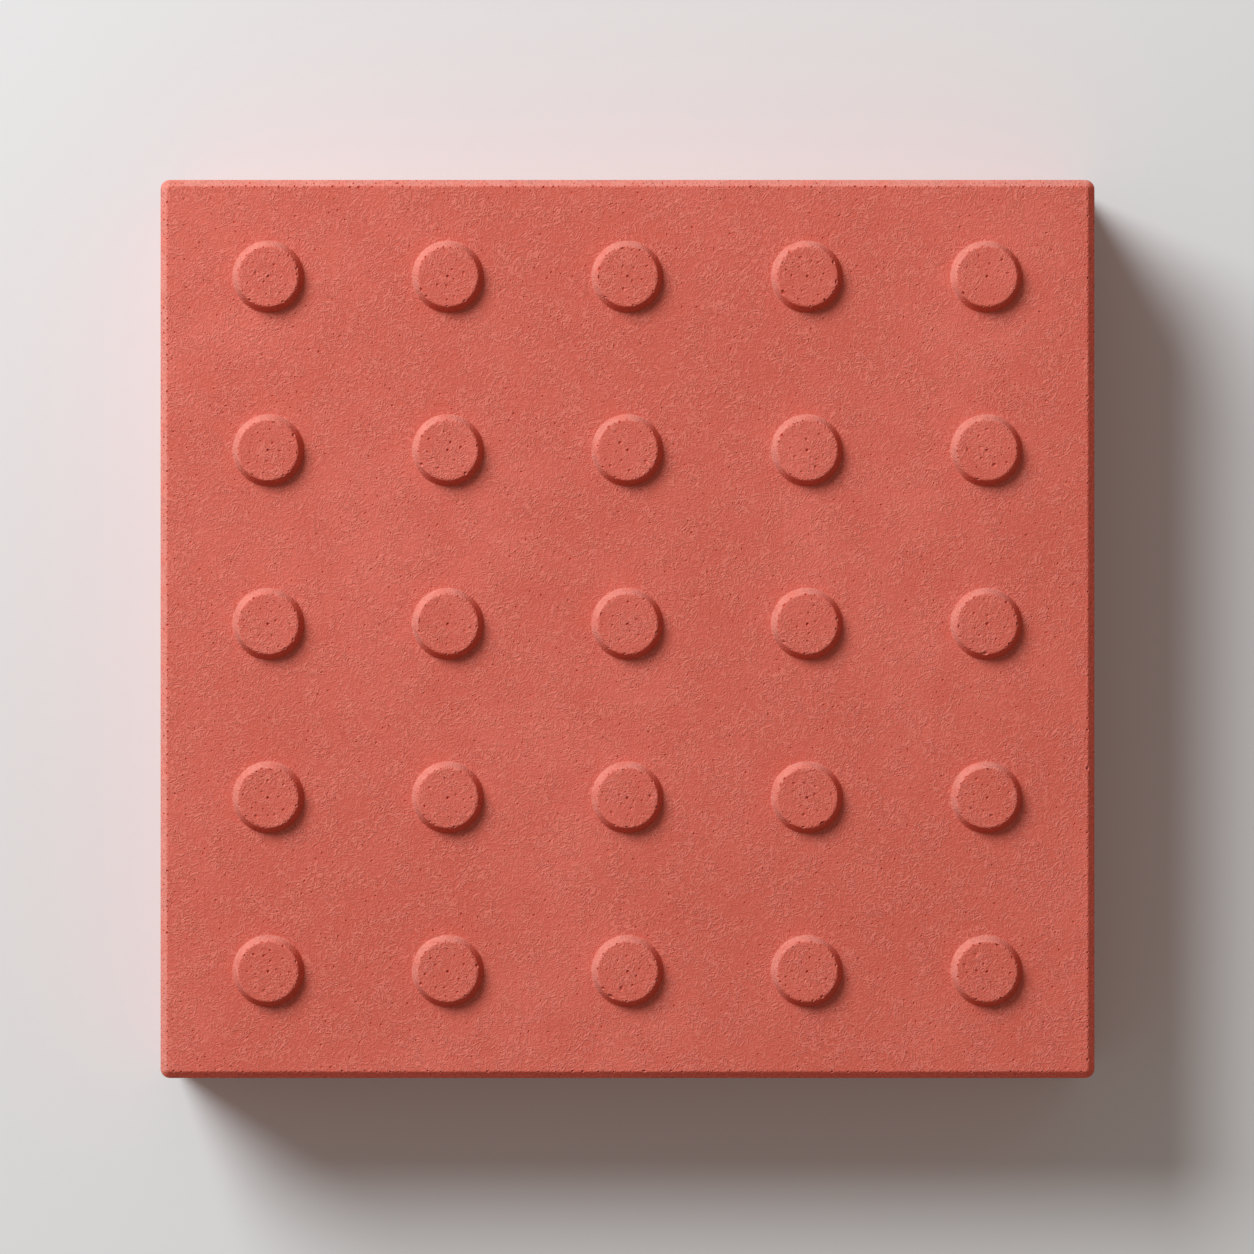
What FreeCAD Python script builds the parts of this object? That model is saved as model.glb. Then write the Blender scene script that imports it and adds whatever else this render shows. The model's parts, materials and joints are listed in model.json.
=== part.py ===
# Tactile paving slab: one piece of pressed, through-coloured concrete.
#
# A flat slab carries a square grid of low, flat-topped warning studs on its face. The face has a
# chamfered, slightly worn arris all round, the upright corners are rounded, and the bed is plain.
# The slab lies flat: the origin is the centre of the bed, +X runs along the longer side, +Y along
# the shorter side and +Z up through the studs. Sizes are in millimetres.

import FreeCAD, Part
import math
import os
from enum import IntEnum

import Sketcher

PART_NAME = "tactile_slab"
SHEET_NAME = "Sizes"
OUTPUT_FOLDER = "parts"

# Driving dimensions: cell alias, value, meaning.
SIZES = [
    ("slab_width", 300.0, "length of the slab along X"),
    ("slab_depth", 288.5, "length of the slab along Y"),
    ("slab_thickness", 60.0, "from the bed to the face between the studs"),
    ("corner_radius", 3.0, "radius of the four upright corners"),
    ("face_chamfer", 2.0, "leg of the chamfer round the face"),
    ("arris_softening", 0.8, "radius that eases both edges of the face chamfer"),
    ("bed_chamfer", 1.0, "leg of the small chamfer round the bed"),
    ("stud_columns", 5, "studs along X"),
    ("stud_rows", 5, "studs along Y"),
    ("side_margin", 34.8, "from the left and right edges to the nearest stud centres"),
    ("back_margin", 31.25, "from the edge at +Y to the nearest stud centres"),
    ("front_margin", 34.45, "from the edge at -Y to the nearest stud centres"),
    ("stud_height", 4.0, "from the face to the flat top of a stud"),
    ("stud_top_diameter", 19.4, "top of a stud, measured where its flank would meet the top"),
    ("stud_flank_run", 1.8, "how far a stud's flank spreads outwards on its way down to the face"),
    ("stud_rim_bevel", 0.8, "how far the bevel of a stud's rim reaches along the top and the flank"),
]

# Two heights or lengths closer than this are the same when edges are picked by place.
SAME = 1e-4


class SketchItem(IntEnum):
    """The numbers by which a constraint names a sketch's own axes and the ends of a line."""

    VERTICAL_AXIS = -2
    HORIZONTAL_AXIS = -1
    START = 1
    END = 2


START, END = SketchItem.START, SketchItem.END
SKETCH_ORIGIN = (SketchItem.HORIZONTAL_AXIS, START)


def make_sheet(doc):
    """The spreadsheet that holds the driving dimensions, one aliased cell each."""
    sheet = doc.addObject("Spreadsheet::Sheet", SHEET_NAME)
    for row, (alias, value, meaning) in enumerate(SIZES, start=1):
        sheet.set(f"A{row}", meaning)
        sheet.set(f"B{row}", str(value))
        sheet.setAlias(f"B{row}", alias)
    doc.recompute()
    return sheet


def cell(alias):
    """The expression that reads one driving dimension."""
    return f"{SHEET_NAME}.{alias}"


def origin_feature(body, role):
    """One of the body's own origin planes or axes."""
    return next(f for f in body.Origin.OriginFeatures if f.Role == role)


def new_sketch(body, name, plane_role):
    """An empty sketch on one of the body's origin planes."""
    sketch = body.newObject("Sketcher::SketchObject", name)
    sketch.AttachmentSupport = (origin_feature(body, plane_role), "")
    sketch.MapMode = "FlatFace"
    return sketch


def add_lines(sketch, points):
    """Adds straight lines that run through the points in turn."""
    corners = [FreeCAD.Vector(x, y, 0) for x, y in points]
    for start, end in zip(corners, corners[1:]):
        sketch.addGeometry(Part.LineSegment(start, end), False)


def constrain(sketch, kind, *places):
    """Adds a constraint that needs no number."""
    sketch.addConstraint(Sketcher.Constraint(kind, *places))


def drive(sketch, name, expression, kind, *places_and_start):
    """Adds a named dimension whose value comes from an expression."""
    index = sketch.addConstraint(Sketcher.Constraint(kind, *places_and_start))
    sketch.renameConstraint(index, name)
    sketch.setExpression(f"Constraints.{name}", expression)


def outline_sketch(body, sheet):
    """The slab's plan: a rectangle centred on the origin."""
    sketch = new_sketch(body, "Outline", "XY_Plane")
    x, y = sheet.slab_width / 2, sheet.slab_depth / 2
    add_lines(sketch, [(-x, -y), (x, -y), (x, y), (-x, y), (-x, -y)])
    front, right, back, left = sides = range(4)
    for side, following in zip(sides, (right, back, left, front)):
        constrain(sketch, "Coincident", side, END, following, START)
    for side in (front, back):
        constrain(sketch, "Horizontal", side)
    for side in (right, left):
        constrain(sketch, "Vertical", side)
    constrain(sketch, "Symmetric", front, START, back, START, *SKETCH_ORIGIN)
    drive(sketch, "width", cell("slab_width"), "DistanceX", front, START, front, END, 2 * x)
    drive(sketch, "depth", cell("slab_depth"), "DistanceY", right, START, right, END, 2 * y)
    return sketch


def stud_sketch(body, sheet):
    """Half the section of the stud nearest the left front corner: flat top, bevelled rim, sloping flank.

    The sketch's origin is where the stud's axis meets the face. The section reaches half way down
    into the slab, so that stud and slab become one solid.
    """
    sketch = new_sketch(body, "StudSection", "XZ_Plane")
    sketch.setExpression("AttachmentOffset.Base.x", f"{cell('side_margin')} - {cell('slab_width')} / 2")
    sketch.setExpression("AttachmentOffset.Base.y", cell("slab_thickness"))
    sketch.setExpression("AttachmentOffset.Base.z", f"{cell('slab_depth')} / 2 - {cell('front_margin')}")

    high, run, rim = sheet.stud_height, sheet.stud_flank_run, sheet.stud_rim_bevel
    top = sheet.stud_top_diameter / 2
    depth = sheet.slab_thickness / 2
    foot = top + run
    rim_share = rim / math.hypot(high, run)
    rim_end = (top + run * rim_share, high - high * rim_share)
    corners = [(0, -depth), (foot, -depth), (foot, 0), rim_end, (top - rim, high), (0, high), (0, -depth)]
    add_lines(sketch, corners)
    bottom, skirt, flank, bevel, flat, axis = sides = range(6)
    top_corner = sketch.addGeometry(Part.Point(FreeCAD.Vector(top, high, 0)), True)

    for side, following in zip(sides, (skirt, flank, bevel, flat, axis, bottom)):
        constrain(sketch, "Coincident", side, END, following, START)
    for side in (bottom, flat):
        constrain(sketch, "Horizontal", side)
    for side in (skirt, axis):
        constrain(sketch, "Vertical", side)
    constrain(sketch, "PointOnObject", axis, START, SketchItem.VERTICAL_AXIS)
    constrain(sketch, "PointOnObject", flank, START, SketchItem.HORIZONTAL_AXIS)
    for side in (flank, flat):
        constrain(sketch, "PointOnObject", top_corner, START, side)

    half_top = cell("stud_top_diameter") + " / 2"
    half_thickness = cell("slab_thickness") + " / 2"
    drive(sketch, "height", cell("stud_height"), "DistanceY", *SKETCH_ORIGIN, axis, START, high)
    drive(sketch, "top", half_top, "DistanceX", *SKETCH_ORIGIN, top_corner, START, top)
    drive(sketch, "run", cell("stud_flank_run"), "DistanceX", top_corner, START, flank, START, run)
    drive(sketch, "rim_on_top", cell("stud_rim_bevel"), "Distance", top_corner, START, flat, START, rim)
    drive(sketch, "rim_on_flank", cell("stud_rim_bevel"), "Distance", top_corner, START, flank, END, rim)
    drive(sketch, "depth", half_thickness, "DistanceY", skirt, START, skirt, END, depth)
    return sketch


def edges_where(feature, test):
    """Names of the feature's edges that pass a test."""
    return [f"Edge{i}" for i, edge in enumerate(feature.Shape.Edges, start=1) if test(edge)]


def is_level(edge, height):
    """True if the whole edge lies at one height."""
    return abs(edge.BoundBox.ZMin - height) < SAME and abs(edge.BoundBox.ZMax - height) < SAME


def is_upright(edge):
    """True for a straight edge that runs along Z."""
    across = max(edge.BoundBox.XLength, edge.BoundBox.YLength)
    return across < SAME < edge.BoundBox.ZLength


def dress(doc, body, kind, name, size_property, alias, test):
    """A fillet or chamfer on those edges of the body so far that pass a test."""
    base = body.Tip
    feature = body.newObject(kind, name)
    feature.Base = (base, edges_where(base, test))
    feature.setExpression(size_property, cell(alias))
    body.Tip = feature
    doc.recompute()
    return feature


def add_block(doc, body, sheet):
    """The plain block with its rounded corners and eased edges."""
    pad = body.newObject("PartDesign::Pad", "Block")
    pad.Profile = outline_sketch(body, sheet)
    pad.setExpression("Length", cell("slab_thickness"))
    body.Tip = pad
    doc.recompute()
    face = sheet.slab_thickness
    fillet, chamfer = "PartDesign::Fillet", "PartDesign::Chamfer"
    dress(doc, body, fillet, "Corners", "Radius", "corner_radius", is_upright)
    dress(doc, body, chamfer, "BedArris", "Size", "bed_chamfer", lambda e: is_level(e, 0))
    dress(doc, body, chamfer, "FaceArris", "Size", "face_chamfer", lambda e: is_level(e, face))
    chamfer_edges = (face, face - sheet.face_chamfer)
    dress(
        doc, body, fillet, "ArrisEdges", "Radius", "arris_softening",
        lambda e: any(is_level(e, height) for height in chamfer_edges),
    )


def pitch(length, margins, count):
    """The expression for the step between stud centres that fills a length between its margins."""
    return f"({cell(length)} - {' - '.join(cell(margin) for margin in margins)}) / ({cell(count)} - 1)"


def add_studs(doc, body, sheet):
    """The first stud, turned about its axis, then repeated in columns and rows over the face."""
    section = stud_sketch(body, sheet)
    stud = body.newObject("PartDesign::Revolution", "Stud")
    stud.Profile = section
    stud.ReferenceAxis = (section, ["V_Axis"])
    stud.Angle = 360
    body.Tip = stud
    doc.recompute()
    field = body.newObject("PartDesign::LinearPattern", "StudField")
    field.Originals = [stud]
    field.Direction = (origin_feature(body, "X_Axis"), [""])
    field.Mode = "Spacing"
    field.setExpression("Offset", pitch("slab_width", ("side_margin", "side_margin"), "stud_columns"))
    field.setExpression("Occurrences", cell("stud_columns"))
    field.Direction2 = (origin_feature(body, "Y_Axis"), [""])
    field.Mode2 = "Spacing"
    field.Spacings2 = field.Spacings
    field.setExpression("Offset2", pitch("slab_depth", ("front_margin", "back_margin"), "stud_rows"))
    field.setExpression("Occurrences2", cell("stud_rows"))
    body.Tip = field
    doc.recompute()


def check(doc, body):
    """Stops before anything is written if a feature failed or the slab isn't one sound solid."""
    failed = [o.Name for o in doc.Objects if {"Invalid", "Error"} & set(o.State)]
    if failed:
        raise RuntimeError(f"these features failed: {failed}")
    shape = body.Shape
    if shape.isNull() or not shape.isValid() or len(shape.Solids) != 1:
        raise RuntimeError(f"{body.Label} is not one valid solid")


def main():
    doc = FreeCAD.newDocument("TactileSlab")
    sheet = make_sheet(doc)
    body = doc.addObject("PartDesign::Body", "Slab")
    body.Label = PART_NAME
    add_block(doc, body, sheet)
    add_studs(doc, body, sheet)
    check(doc, body)
    os.makedirs(OUTPUT_FOLDER, exist_ok=True)
    body.Shape.exportStep(os.path.join(OUTPUT_FOLDER, f"{body.Label}.step"))
    box = body.Shape.BoundBox
    extents = " x ".join(f"{length:.2f}" for length in (box.XLength, box.YLength, box.ZLength))
    print(f"{body.Label}: {extents} mm, {body.Shape.Volume:.0f} mm3")


main()
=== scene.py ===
import json
import math

import bmesh
import bpy
import numpy as np
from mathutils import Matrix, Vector

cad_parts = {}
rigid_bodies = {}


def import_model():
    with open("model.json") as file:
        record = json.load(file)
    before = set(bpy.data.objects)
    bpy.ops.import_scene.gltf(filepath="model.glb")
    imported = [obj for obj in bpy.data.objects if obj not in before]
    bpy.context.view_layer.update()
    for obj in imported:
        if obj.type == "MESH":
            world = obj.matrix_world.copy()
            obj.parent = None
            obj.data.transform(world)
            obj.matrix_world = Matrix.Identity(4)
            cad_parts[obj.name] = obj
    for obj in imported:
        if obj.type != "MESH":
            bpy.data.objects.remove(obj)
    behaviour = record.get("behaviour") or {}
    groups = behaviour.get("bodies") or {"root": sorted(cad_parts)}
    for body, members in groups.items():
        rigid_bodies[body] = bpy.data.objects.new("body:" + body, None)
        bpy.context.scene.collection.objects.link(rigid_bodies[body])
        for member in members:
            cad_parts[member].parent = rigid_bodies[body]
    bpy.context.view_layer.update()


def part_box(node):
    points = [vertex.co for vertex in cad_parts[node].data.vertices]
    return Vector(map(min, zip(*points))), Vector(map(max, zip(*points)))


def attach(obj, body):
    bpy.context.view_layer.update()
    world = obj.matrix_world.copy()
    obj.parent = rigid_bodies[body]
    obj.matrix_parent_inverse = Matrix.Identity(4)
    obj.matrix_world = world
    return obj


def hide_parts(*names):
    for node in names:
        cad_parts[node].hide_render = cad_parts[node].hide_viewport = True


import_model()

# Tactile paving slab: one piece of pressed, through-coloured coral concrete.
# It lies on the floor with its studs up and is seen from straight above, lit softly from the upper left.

MM = 0.001
UP = Vector((0, 0, 1))
TOUCHING = 0.01 * MM

# Block. Its extents come from the CAD part in model.glb; the bed lies on the floor.
LOW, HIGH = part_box("tactile_slab")
HALF = (HIGH - LOW) / 2
STUD_HEIGHT = 4.0 * MM
FACE = HIGH.z - STUD_HEIGHT
CORNER_RADIUS = 3.0 * MM
CORNER_STEPS = 8
FACE_CHAMFER = 2.25 * MM
BED_CHAMFER = 1.0 * MM
ARRIS_EASING = 0.35 * MM
ARRIS_STEPS = 3

# Studs. The top radius is where the flank would meet the top without the rounding of the rim.
STUD_COLUMNS, STUD_ROWS = 5, 5
SIDE_MARGIN, BACK_MARGIN, FRONT_MARGIN = 34.8 * MM, 31.25 * MM, 34.45 * MM
STUD_TOP_RADIUS = 9.7 * MM
STUD_FLANK_RUN = 1.75 * MM
STUD_RIM_ROUND = 0.9 * MM
STUD_ROOT_ROUND = 0.4 * MM
STUD_SIDES = 48
STUD_SUNK = 1.0 * MM
RIM_STEPS, ROOT_STEPS = 6, 4

# Pits and nicks left by the pressing: how many there are. TOP_PITS and RIM_NICKS are for one stud.
SEED = 11
FACE_PITS = 2800
WALL_PITS = 1100
TOP_PITS = 20
RIM_NICKS = 32
INNER_NICKS = 480
OUTER_NICKS = 220
CHAMFER_PITS = 200

# Radius of a pit: the usual one, how much it varies, and its limits
USUAL_PIT_MM = 0.33
PIT_SPREAD = 0.28
SMALLEST_PIT_MM = 0.2
LARGEST_PIT_MM = 0.6
LARGEST_FACE_PIT_MM = 0.42
PINHOLE_RADIUS, PINHOLE_DEPTH = 0.62 * MM, 0.85 * MM


def work_on(piece):
    """Makes one piece the only selected and the active one."""
    bpy.ops.object.select_all(action="DESELECT")
    piece.select_set(True)
    bpy.context.view_layer.objects.active = piece


def same(a, b):
    return abs(a - b) < TOUCHING


def select_edges(piece, wanted):
    """In edit mode, selects exactly the edges whose ends pass a test."""
    bpy.ops.mesh.select_mode(type="EDGE")
    bpy.ops.mesh.select_all(action="DESELECT")
    shape = bmesh.from_edit_mesh(piece.data)
    for edge in shape.edges:
        edge.select_set(wanted(*(vert.co for vert in edge.verts)))
    bmesh.update_edit_mesh(piece.data)


def level_at(*heights):
    """A test for edges that lie level at one of the heights."""
    return lambda a, b: same(a.z, b.z) and any(same(a.z, height) for height in heights)


def make_block():
    """The slab without its studs: rounded corners, chamfered and eased edges."""
    bpy.ops.object.select_all(action="DESELECT")
    size = (2 * HALF.x, 2 * HALF.y, FACE)
    bpy.ops.mesh.primitive_cube_add(size=1, location=(0, 0, FACE / 2), scale=size)
    block = bpy.context.object
    bpy.ops.object.transform_apply(location=True, rotation=True, scale=True)
    bpy.ops.object.mode_set(mode="EDIT")
    select_edges(block, lambda a, b: same(a.x, b.x) and same(a.y, b.y))
    bpy.ops.mesh.bevel(offset=CORNER_RADIUS, segments=CORNER_STEPS, affect="EDGES")
    select_edges(block, level_at(0))
    bpy.ops.mesh.bevel(offset=BED_CHAMFER, segments=1, affect="EDGES")
    select_edges(block, level_at(FACE))
    bpy.ops.mesh.bevel(offset=FACE_CHAMFER, segments=1, affect="EDGES")
    select_edges(block, level_at(FACE, FACE - FACE_CHAMFER))
    bpy.ops.mesh.bevel(offset=ARRIS_EASING, segments=ARRIS_STEPS, affect="EDGES")
    bpy.ops.object.mode_set(mode="OBJECT")
    return block


def stud_centres():
    """Where the stud axes meet the face, row by row."""
    columns = np.linspace(LOW.x + SIDE_MARGIN, HIGH.x - SIDE_MARGIN, STUD_COLUMNS)
    rows = np.linspace(LOW.y + FRONT_MARGIN, HIGH.y - BACK_MARGIN, STUD_ROWS)
    return [Vector((x, y, FACE)) for y in rows for x in columns]


def stud_rings():
    """Radius and height above the face of each ring of a stud, from its eased root to its eased rim."""
    slope = math.atan2(STUD_HEIGHT, STUD_FLANK_RUN)
    reach = math.tan(slope / 2)
    foot = STUD_TOP_RADIUS + STUD_FLANK_RUN + STUD_ROOT_ROUND * reach
    flat = STUD_TOP_RADIUS - STUD_RIM_ROUND * reach
    rings = []
    for turn in np.linspace(0, slope, ROOT_STEPS):
        rise = STUD_ROOT_ROUND * (1 - math.cos(turn))
        rings.append((foot - STUD_ROOT_ROUND * math.sin(turn), rise))
    for turn in np.linspace(slope, 0, RIM_STEPS):
        drop = STUD_RIM_ROUND * (1 - math.cos(turn))
        rings.append((flat + STUD_RIM_ROUND * math.sin(turn), STUD_HEIGHT - drop))
    return rings


def make_stud(centre):
    """One stud, drawn up ring by ring from a disc just under the face."""
    radius, height = stud_rings()[0][0], -STUD_SUNK
    bpy.ops.object.select_all(action="DESELECT")
    bpy.ops.mesh.primitive_circle_add(
        vertices=STUD_SIDES, radius=radius, fill_type="NGON", location=centre + UP * height)
    stud = bpy.context.object
    bpy.ops.object.transform_apply(location=True, rotation=True, scale=True)
    bpy.ops.object.mode_set(mode="EDIT")
    bpy.ops.mesh.select_all(action="SELECT")
    for next_radius, next_height in stud_rings():
        bpy.ops.mesh.extrude_region_move(TRANSFORM_OT_translate={"value": UP * (next_height - height)})
        scale = next_radius / radius
        bpy.ops.transform.resize(value=(scale, scale, 1), center_override=centre)
        radius, height = next_radius, next_height
    bpy.ops.mesh.select_all(action="SELECT")
    bpy.ops.mesh.normals_make_consistent(inside=False)
    bpy.ops.object.mode_set(mode="OBJECT")
    return stud


def make_studs():
    """All studs as one mesh: the first is modelled, the others are copies of it."""
    centres = stud_centres()
    first = make_stud(centres[0])
    studs = [first]
    for centre in centres[1:]:
        work_on(first)
        bpy.ops.object.duplicate(linked=False)
        bpy.ops.transform.translate(value=centre - centres[0])
        bpy.ops.object.transform_apply(location=True, rotation=True, scale=True)
        studs.append(bpy.context.object)
    work_on(first)
    for stud in studs:
        stud.select_set(True)
    bpy.ops.object.join()
    return first


class PitTool:
    """A cutter for many small pits, kept clear of each other and made as one mesh."""

    # Side of the boxes in which taken places are looked up, wider than two pits need
    BOX = 4 * MM
    # Clear ground round a pit, in radii
    CLEAR = 1.9
    # Rings of the cutter: how far above and below the surface, in depths, and how wide there, in radii
    RING_OFFSET = 0.55
    WIDTH_ABOVE, WIDTH_BELOW = 1.5, 0.5
    # Smaller pits have five sides, the others six
    SMALL = 0.35 * MM

    def __init__(self):
        self.rng = np.random.default_rng(SEED)
        self.points = []
        self.faces = []
        self.taken = {}

    def is_free(self, place, reach):
        """True if no other pit comes too near; the place is then taken."""
        home = tuple(math.floor(value / self.BOX) for value in place)
        steps = [(i, j, k) for i in (-1, 0, 1) for j in (-1, 0, 1) for k in (-1, 0, 1)]
        for step in steps:
            near = tuple(a + b for a, b in zip(home, step))
            for other, other_reach in self.taken.get(near, []):
                if (place - other).length < reach + other_reach:
                    return False
        self.taken.setdefault(home, []).append((place, reach))
        return True

    def add(self, place, outward, radius, depth, stretch=None):
        """Adds one uneven, more or less drawn-out pit that narrows to a point; False if it has no room."""
        rng = self.rng
        stretch = stretch or 1 + max(0.0, rng.normal(0.15, 0.35))
        if not self.is_free(place, self.CLEAR * radius * stretch):
            return False
        across = outward.orthogonal().normalized()
        along = outward.cross(across)
        turn = rng.uniform(0, math.tau)
        cos, sin = math.cos(turn), math.sin(turn)
        across, along = across * cos + along * sin, along * cos - across * sin
        sides = 5 if radius < self.SMALL else 6
        spokes = []
        for angle in rng.uniform(0, math.tau) + np.arange(sides) * math.tau / sides:
            length = radius * rng.uniform(0.8, 1.2)
            reach = stretch * length * math.cos(angle)
            spokes.append(across * reach + along * (length * math.sin(angle)))
        mouth = len(self.points)
        floor = mouth + sides
        tip = floor + sides
        offset = outward * (self.RING_OFFSET * depth)
        self.points += [place + spoke * self.WIDTH_ABOVE + offset for spoke in spokes]
        self.points += [place + spoke * self.WIDTH_BELOW - offset for spoke in spokes]
        self.points.append(place - outward * depth)
        self.faces.append([mouth + side for side in range(sides)])
        for side in range(sides):
            after = (side + 1) % sides
            self.faces.append([mouth + after, mouth + side, floor + side, floor + after])
            self.faces.append([floor + after, floor + side, tip])
        return True

    def make(self):
        """The cutter as one mesh of closed plugs."""
        mesh = bpy.data.meshes.new("pits")
        mesh.from_pydata([tuple(point) for point in self.points], [], self.faces)
        tool = bpy.data.objects.new("pits", mesh)
        bpy.context.collection.objects.link(tool)
        work_on(tool)
        bpy.ops.object.mode_set(mode="EDIT")
        bpy.ops.mesh.select_all(action="SELECT")
        bpy.ops.mesh.normals_make_consistent(inside=False)
        bpy.ops.object.mode_set(mode="OBJECT")
        return tool


def pit_radius(rng, largest=LARGEST_PIT_MM):
    """A radius near the usual one, now and then a good deal larger."""
    radius = rng.lognormal(math.log(USUAL_PIT_MM), PIT_SPREAD)
    return float(np.clip(radius, SMALLEST_PIT_MM, largest)) * MM


def pit_studs(tool):
    """A pinhole in the middle of each stud, nicks in its rim and pits over its top."""
    rng = tool.rng
    pitted_radius = STUD_TOP_RADIUS - 1.3 * MM
    for centre in stud_centres():
        top = centre + UP * STUD_HEIGHT
        tool.add(top, UP, PINHOLE_RADIUS, PINHOLE_DEPTH, stretch=1.0)
        left_to_do = RIM_NICKS + TOP_PITS
        while left_to_do:
            angle = rng.uniform(0, math.tau)
            radius = pitted_radius * math.sqrt(rng.uniform())
            outward = Vector((math.cos(angle), math.sin(angle), 0))
            facing, sunk, wide, deep = UP, 0.0, 1.4, (0.6, 0.9)
            if left_to_do > TOP_PITS:
                radius = STUD_TOP_RADIUS - rng.uniform(-0.4, 0.5) * MM
                facing = (UP + outward).normalized()
                sunk, wide, deep = rng.uniform(0.0, 0.4) * MM, 1.15, (1.0, 1.4)
            size = wide * pit_radius(rng)
            place = top + outward * radius - UP * sunk
            left_to_do -= tool.add(place, facing, size, rng.uniform(*deep) * size)


def pit_face(tool):
    """Pits all over the face between the studs."""
    rng = tool.rng
    centres = stud_centres()
    inset = FACE_CHAMFER + 0.7 * MM
    clear = STUD_TOP_RADIUS + STUD_FLANK_RUN + 1.5 * MM
    left_to_do = FACE_PITS
    while left_to_do:
        x = rng.uniform(inset - HALF.x, HALF.x - inset)
        y = rng.uniform(inset - HALF.y, HALF.y - inset)
        place = Vector((x, y, FACE))
        if min((place - centre).length for centre in centres) > clear:
            size = pit_radius(rng, LARGEST_FACE_PIT_MM)
            left_to_do -= tool.add(place, UP, size, rng.uniform(0.7, 1.05) * size)


def pit_sides(tool, count, inward, below, lean, deep, wide=1.0):
    """Pits round the four sides.

    They lie between two distances in from the side and below the face. lean is how far they face up,
    deep their depth in radii, from the least to the most, and wide widens them all.
    """
    rng = tool.rng
    outwards = [(1, 0, 0), (0, 1, 0), (-1, 0, 0), (0, -1, 0)]
    while count:
        side = rng.integers(len(outwards))
        outward = Vector(outwards[side])
        along = UP.cross(outward)
        far, half_length = (HALF.x, HALF.y) if side % 2 == 0 else (HALF.y, HALF.x)
        reach = half_length - CORNER_RADIUS - MM
        place = outward * (far - rng.uniform(*inward)) + along * rng.uniform(-reach, reach)
        place.z = FACE - rng.uniform(*below)
        size = wide * pit_radius(rng)
        count -= tool.add(place, (outward + UP * lean).normalized(), size, rng.uniform(*deep) * size)


def make_pits():
    """The cutter for all pits: studs, face, both edges of the chamfer, the chamfer, the sides."""
    tool = PitTool()
    pit_studs(tool)
    pit_face(tool)
    leg, middle = FACE_CHAMFER, FACE_CHAMFER / 2
    pit_sides(
        tool, INNER_NICKS, inward=(leg - 0.3 * MM, leg + 0.2 * MM), below=(0.0, 0.15 * MM),
        lean=2.0, deep=(1.2, 1.8))
    pit_sides(
        tool, OUTER_NICKS, inward=(0.0, 0.15 * MM), below=(leg - 0.2 * MM, leg + 0.2 * MM),
        lean=0.5, deep=(1.0, 1.5))
    pit_sides(
        tool, CHAMFER_PITS, inward=(middle, middle), below=(middle, middle),
        lean=1.0, deep=(1.0, 1.5))
    pit_sides(
        tool, WALL_PITS, inward=(0.0, 0.0), below=(4 * MM, FACE - 3 * MM),
        lean=0.0, deep=(0.9, 1.4), wide=1.3)
    return tool.make()


def combine(piece, tool, operation):
    """Joins a tool to a piece or cuts it out of the piece, and removes the tool."""
    work_on(piece)
    step = piece.modifiers.new("combine", "BOOLEAN")
    step.object = tool
    step.operation = operation
    step.solver = "MANIFOLD"
    bpy.ops.object.modifier_apply(modifier=step.name)
    bpy.data.objects.remove(tool)


def clear_chips(piece):
    """Removes the few crumbs and sealed bubbles that pits cut close together leave behind."""
    work_on(piece)
    bpy.ops.object.mode_set(mode="EDIT")
    select_edges(piece, level_at(0))
    bpy.ops.mesh.select_linked()
    bpy.ops.mesh.select_all(action="INVERT")
    bpy.ops.mesh.delete(type="VERT")
    bpy.ops.object.mode_set(mode="OBJECT")


def make_slab():
    """The finished slab: block and studs joined, pits cut out."""
    slab = make_block()
    slab.name = "paving_slab"
    combine(slab, make_studs(), "UNION")
    combine(slab, make_pits(), "DIFFERENCE")
    clear_chips(slab)
    work_on(slab)
    bpy.ops.object.shade_smooth_by_angle(angle=math.radians(30))
    flats = slab.modifiers.new("keep_flats_flat", "WEIGHTED_NORMAL")
    flats.keep_sharp = True
    bpy.ops.object.modifier_apply(modifier=flats.name)
    return slab


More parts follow.
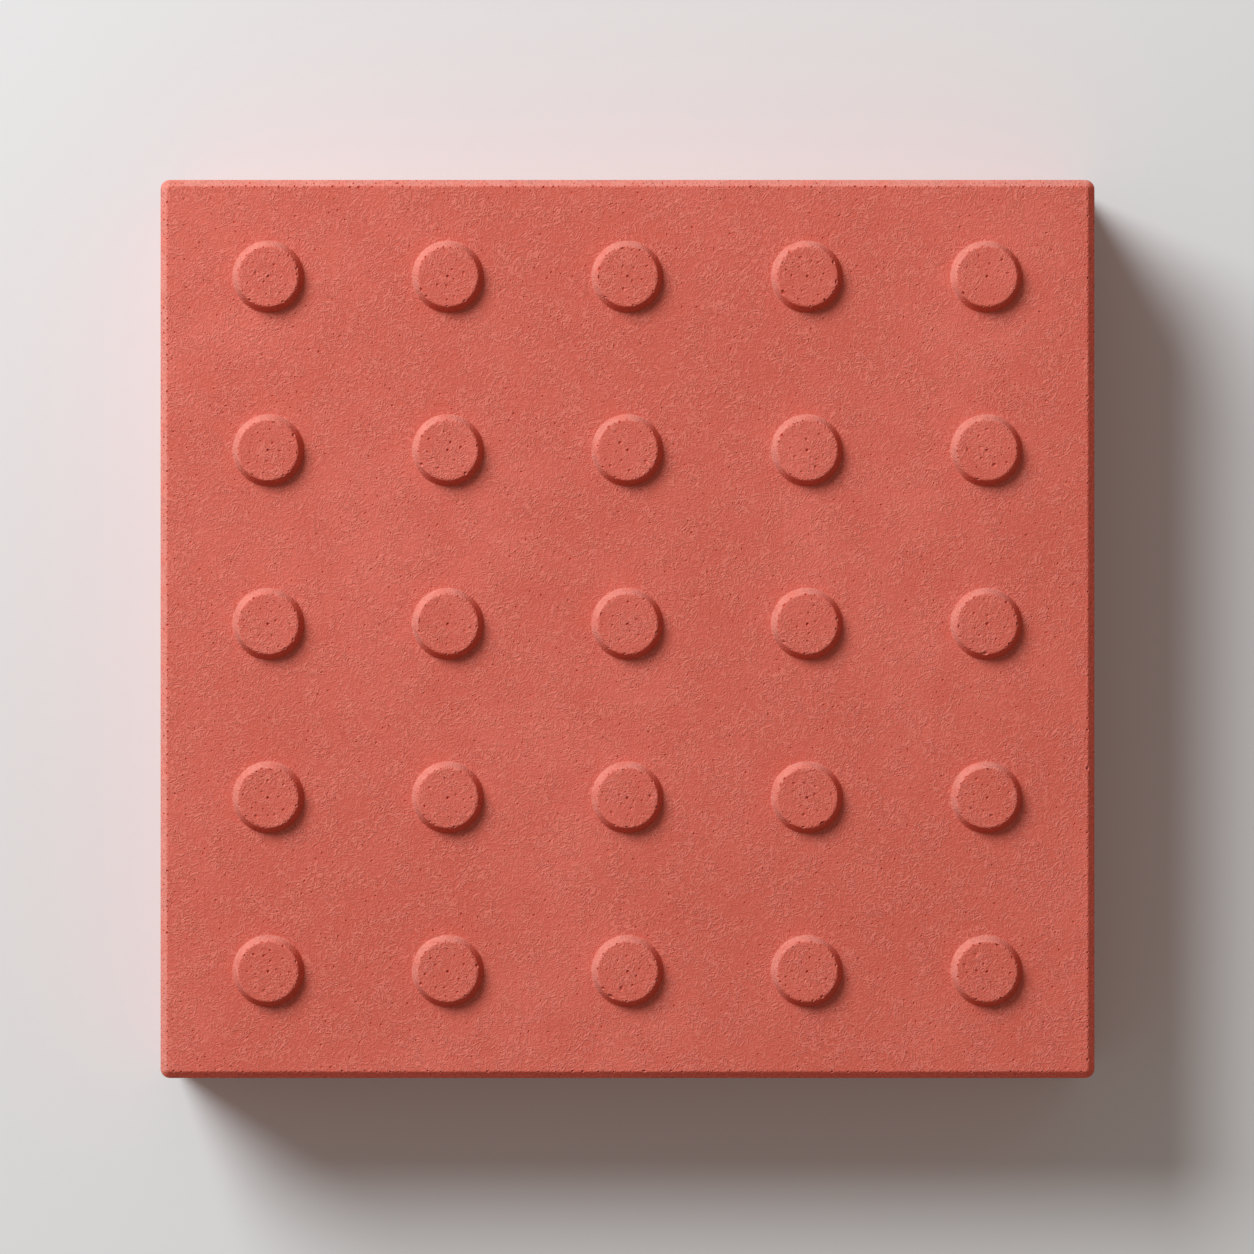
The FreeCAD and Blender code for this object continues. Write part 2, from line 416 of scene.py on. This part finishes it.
class Shading:
    """A material's nodes, added one at a time with their sockets filled or linked."""

    def __init__(self, name):
        self.material = bpy.data.materials.new(name)
        self.material.use_nodes = True
        self.tree = self.material.node_tree
        self.surface = self.tree.nodes["Principled BSDF"]

    def set(self, socket, value):
        """Links a socket to another one, or gives it a value."""
        if isinstance(value, bpy.types.NodeSocket):
            self.tree.links.new(value, socket)
        else:
            socket.default_value = value

    def fill(self, node, sockets):
        for key, value in sockets.items():
            self.set(node.inputs[key], value)

    def add(self, kind, sockets, output=0, **settings):
        node = self.tree.nodes.new(kind)
        for key, value in settings.items():
            setattr(node, key, value)
        self.fill(node, sockets)
        return node.outputs[output]

    def math(self, operation, *values):
        return self.add("ShaderNodeMath", dict(enumerate(values)), operation=operation)

    def vector(self, operation, *values, output="Vector"):
        return self.add("ShaderNodeVectorMath", dict(enumerate(values)), output, operation=operation)

    def apart(self, place):
        """The three coordinates of a place, by name."""
        return self.add("ShaderNodeSeparateXYZ", {"Vector": place}).node.outputs

    def noise(self, place, scale, detail=0.0, output="Fac"):
        return self.add("ShaderNodeTexNoise", {"Vector": place, "Scale": scale, "Detail": detail}, output)

    def sway(self, place, scale, reach):
        """Places shifted a little to and fro, so that straight marks become wavy."""
        shift = self.vector("SUBTRACT", self.noise(place, scale, 0.0, "Color"), (0.5, 0.5, 0.5))
        return self.vector("ADD", place, self.vector("MULTIPLY", shift, (reach, reach, reach)))

    def ramp(self, value, low, high, start=0.0, end=1.0):
        """A soft step from start to end while the value goes from low to high."""
        sockets = {"Value": value, "From Min": low, "From Max": high, "To Min": start, "To Max": end}
        return self.add("ShaderNodeMapRange", sockets, interpolation_type="SMOOTHSTEP")

    def blend(self, amount, a, b):
        """The colour a, turned into b by an amount."""
        node = self.tree.nodes.new("ShaderNodeMix")
        node.data_type = "RGBA"
        named = {socket.identifier: socket for socket in node.inputs}
        for key, value in (("Factor_Float", amount), ("A_Color", a), ("B_Color", b)):
            self.set(named[key], value)
        return next(out for out in node.outputs if out.identifier == "Result_Color")


# Colours of the concrete
DEEP_CORAL = (0.606, 0.106, 0.0702, 1)
PALE_CORAL = (0.662, 0.131, 0.0916, 1)
CLOUD = (0.58, 0.0985, 0.0625, 1)
# Painted highlight on the stroke crests; the hollows between them stay darker, as painted shade
CREST_HIGHLIGHT = (0.685, 0.174, 0.13, 1)
EDGE_RED = (0.68, 0.095, 0.056, 1)
# Painted highlight: the paler colour laid on the edges that face the softbox at the upper left
PAINTED_HIGHLIGHT_EDGE = (0.648, 0.233, 0.19, 1)
DARK_GRAIN = (0.4, 0.055, 0.033, 1)
PALE_GRAIN = (0.78, 0.2, 0.15, 1)
STREAK = (0.5, 0.08, 0.05, 1)

# Fine relief of the concrete: depth, and how much longer than wide its strokes are
RELIEF_DEPTH = 0.135 * MM
STROKE_LENGTH = 9


def stroke_relief(shading, place):
    """Short, fine, wavy strokes in four directions; where they cross, the higher one shows."""
    wavy = shading.sway(place, 450.0, 1.5 * MM)
    strokes = None
    for turn in range(10, 190, 45):
        rotation = (0.4, 0.25, math.radians(turn))
        sockets = {"Vector": wavy, "Rotation": rotation, "Scale": (STROKE_LENGTH, 1, 1)}
        turned = shading.add("ShaderNodeMapping", sockets, vector_type="TEXTURE")
        layer = shading.ramp(shading.noise(turned, 2100.0), 0.47, 0.81)
        strokes = layer if strokes is None else shading.math("MAXIMUM", strokes, layer)
    patches = shading.ramp(shading.noise(place, 130.0), 0.3, 0.7, 0.75, 1.25)
    return shading.math("MULTIPLY", strokes, patches)


def raw_sides(shading, height):
    """1 on the sides and the bed, 0 on the chamfer and above."""
    return shading.ramp(height, FACE - 1.5 * FACE_CHAMFER, FACE - 1.1 * FACE_CHAMFER, 1.0, 0.0)


def chamfer_and_rims(shading, place, height):
    """1 on the face's chamfer and on the flanks and rims of the studs, 0 elsewhere."""
    first = stud_centres()[0]
    last = stud_centres()[-1]
    step = Vector(((last.x - first.x) / (STUD_COLUMNS - 1), (last.y - first.y) / (STUD_ROWS - 1), 1))
    middle = Vector((first.x, first.y, 0))
    plan = shading.vector("MULTIPLY", place, (1, 1, 0))
    in_cell = shading.vector("WRAP", plan, middle + step / 2, middle - step / 2)
    from_axis = shading.vector("DISTANCE", in_cell, middle, output="Value")
    ring_middle = STUD_TOP_RADIUS + 0.5 * STUD_FLANK_RUN
    off_ring = shading.math("ABSOLUTE", shading.math("SUBTRACT", from_axis, ring_middle))
    on_ring = shading.ramp(off_ring, 0.8 * MM, 1.3 * MM, 1.0, 0.0)

    off_centre = shading.vector("ABSOLUTE", place)
    from_sides = shading.apart(shading.vector("SUBTRACT", (HALF.x, HALF.y, 1), off_centre))
    from_edge = shading.math("MINIMUM", from_sides["X"], from_sides["Y"])
    near_edge = shading.ramp(from_edge, FACE_CHAMFER - 0.4 * MM, FACE_CHAMFER + 0.35 * MM, 1.0, 0.0)
    near_face = shading.ramp(height, FACE - 1.3 * FACE_CHAMFER, FACE - 0.9 * FACE_CHAMFER)
    on_chamfer = shading.math("MULTIPLY", near_edge, near_face)
    return shading.math("MAXIMUM", on_ring, on_chamfer)


def face_color(shading, place, strokes):
    """Coral, softly mottled and clouded, with the stroke crests painted paler: a painted highlight on the
    raised strokes, which leaves the hollows between them darker as painted shade.
    """
    mottle = shading.ramp(shading.noise(place, 60.0, 2.0), 0.3, 0.7)
    color = shading.blend(mottle, DEEP_CORAL, PALE_CORAL)
    clouds = shading.ramp(shading.noise(place, 14.0, 1.0), 0.3, 0.7, 0.0, 0.8)
    color = shading.blend(clouds, color, CLOUD)
    # Painted highlight: the higher the stroke, the paler its colour
    painted_crest_highlight = shading.ramp(strokes, 0.35, 1.0, 0.0, 0.72)
    return shading.blend(painted_crest_highlight, color, CREST_HIGHLIGHT)


def edge_color(shading, place, edges, color):
    """Deeper on the edges, and painted pale in patches where they are turned to the left and the back,
    towards the softbox: a painted highlight.
    """
    color = shading.blend(shading.math("MULTIPLY", edges, 0.7), color, EDGE_RED)
    outward = shading.add("ShaderNodeTexCoord", {}, "Normal")
    # Painted highlight: edges turned towards the softbox at the upper left are painted paler
    facing_key_light = shading.vector("DOT_PRODUCT", outward, (-0.7, 0.7, 0), output="Value")
    painted_highlight = shading.math("MULTIPLY", edges, shading.ramp(facing_key_light, -0.4, 0.5))
    patches = shading.ramp(shading.noise(place, 180.0, 1.0), 0.25, 0.6, 0.7, 1.0)
    return shading.blend(shading.math("MULTIPLY", painted_highlight, patches), color, PAINTED_HIGHLIGHT_EDGE)


def side_color(shading, place, raw, edges, grains, color):
    """Dark and pale grains on the sides and, fainter, on the edges; upright drag streaks on the sides."""
    speckled = shading.math("MAXIMUM", raw, shading.math("MULTIPLY", edges, 0.6))
    dark_grains = shading.math("MULTIPLY", speckled, shading.ramp(grains, 0.36, 0.5, 0.38, 0.0))
    color = shading.blend(dark_grains, color, DARK_GRAIN)
    pale_grains = shading.math("MULTIPLY", speckled, shading.ramp(grains, 0.56, 0.68, 0.0, 0.35))
    color = shading.blend(pale_grains, color, PALE_GRAIN)
    drag = shading.add("ShaderNodeMapping", {"Vector": place, "Scale": (1, 1, 0.07)})
    streaks = shading.ramp(shading.noise(drag, 420.0, 1.0), 0.35, 0.7)
    streaks = shading.math("MULTIPLY", shading.math("MULTIPLY", raw, streaks), 0.3)
    return shading.blend(streaks, color, STREAK)


def concrete():
    """Coral concrete: finely stroked on the face, with a painted highlight on the edges turned to the
    softbox, grainy on the edges and sides.
    """
    shading = Shading("coral_concrete")
    place = shading.add("ShaderNodeTexCoord", {}, "Object")
    height = shading.apart(place)["Z"]
    strokes = stroke_relief(shading, place)
    grains = shading.noise(place, 1100.0, 1.0)
    raw = raw_sides(shading, height)
    edges = chamfer_and_rims(shading, place, height)
    color = face_color(shading, place, strokes)
    color = edge_color(shading, place, edges, color)
    color = side_color(shading, place, raw, edges, grains, color)
    roughness = shading.ramp(shading.noise(place, 240.0), 0.3, 0.7, 0.58, 0.68)
    grainy = shading.math("MULTIPLY", shading.math("MAXIMUM", raw, edges), grains)
    relief = shading.math("ADD", grainy, strokes)
    normal = shading.add("ShaderNodeBump", {"Height": relief, "Strength": 1.0, "Distance": RELIEF_DEPTH})
    shine = shading.ramp(edges, 0.0, 1.0, 0.5, 0.12)
    sockets = {"Base Color": color, "Roughness": roughness, "Specular IOR Level": shine, "Normal": normal}
    shading.fill(shading.surface, sockets)
    return shading.material


# Floor
FLOOR_SIDE = 8
FLOOR_DEEP = (0.68, 0.715, 0.735, 1)
FLOOR_PALE = (0.7, 0.735, 0.755, 1)


def pale_floor():
    """A plain, pale, matt finish."""
    shading = Shading("pale_floor")
    place = shading.add("ShaderNodeTexCoord", {}, "Object")
    tone = shading.ramp(shading.noise(place, 3.0), 0.3, 0.7)
    color = shading.blend(tone, FLOOR_DEEP, FLOOR_PALE)
    shading.fill(shading.surface, {"Base Color": color, "Roughness": 0.9, "Specular IOR Level": 0.2})
    return shading.material


def make_floor():
    bpy.ops.object.select_all(action="DESELECT")
    bpy.ops.mesh.primitive_plane_add(size=FLOOR_SIDE, location=(0, 0, 0))
    floor = bpy.context.object
    floor.name = "floor"
    floor.data.materials.append(pale_floor())


# Light: a round softbox at the upper left and an even, slightly warm glow from all round
KEY_AZIMUTH, KEY_ELEVATION = math.radians(133), math.radians(37)
KEY_DISTANCE = 2.9
KEY_SIZE = 1.7
KEY_POWER = 103.5
GLOW_COLOR = (1, 0.82, 0.72, 1)
GLOW_STRENGTH = 0.285


def make_lights():
    level, rise = math.cos(KEY_ELEVATION), math.sin(KEY_ELEVATION)
    towards = Vector((level * math.cos(KEY_AZIMUTH), level * math.sin(KEY_AZIMUTH), rise))
    bpy.ops.object.light_add(type="AREA", location=UP * FACE + towards * KEY_DISTANCE)
    key = bpy.context.object
    key.name = "softbox"
    key.rotation_euler = towards.to_track_quat("Z", "Y").to_euler()
    key.data.shape = "DISK"
    key.data.size = KEY_SIZE
    key.data.energy = KEY_POWER
    world = bpy.data.worlds.new("studio")
    world.use_nodes = True
    glow = world.node_tree.nodes["Background"]
    glow.inputs["Color"].default_value = GLOW_COLOR
    glow.inputs["Strength"].default_value = GLOW_STRENGTH
    bpy.context.scene.world = world


# Camera: straight above, with the slab at the size and place it has in the photo
IMAGE_SIDE_PX = 1254
SLAB_WIDTH_PX = 934.0
SLAB_CENTRE_PX = (627.55, 629.0)
CAMERA_DISTANCE = 2.5
SENSOR_WIDTH_MM = 36.0


def make_camera():
    metres_per_px = 2 * HALF.x / SLAB_WIDTH_PX
    x = (IMAGE_SIDE_PX / 2 - SLAB_CENTRE_PX[0]) * metres_per_px
    y = (SLAB_CENTRE_PX[1] - IMAGE_SIDE_PX / 2) * metres_per_px
    widest = FACE - FACE_CHAMFER
    bpy.ops.object.camera_add(location=(x, y, widest + CAMERA_DISTANCE), rotation=(0, 0, 0))
    camera = bpy.context.object
    camera.data.sensor_width = SENSOR_WIDTH_MM
    camera.data.lens = SENSOR_WIDTH_MM * CAMERA_DISTANCE / (IMAGE_SIDE_PX * metres_per_px)
    bpy.context.scene.camera = camera


slab = make_slab()
slab.data.materials.clear()
slab.data.materials.append(concrete())
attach(slab, "root")
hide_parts("tactile_slab")
make_floor()
make_lights()
make_camera()
bpy.context.scene.view_settings.view_transform = "Standard"
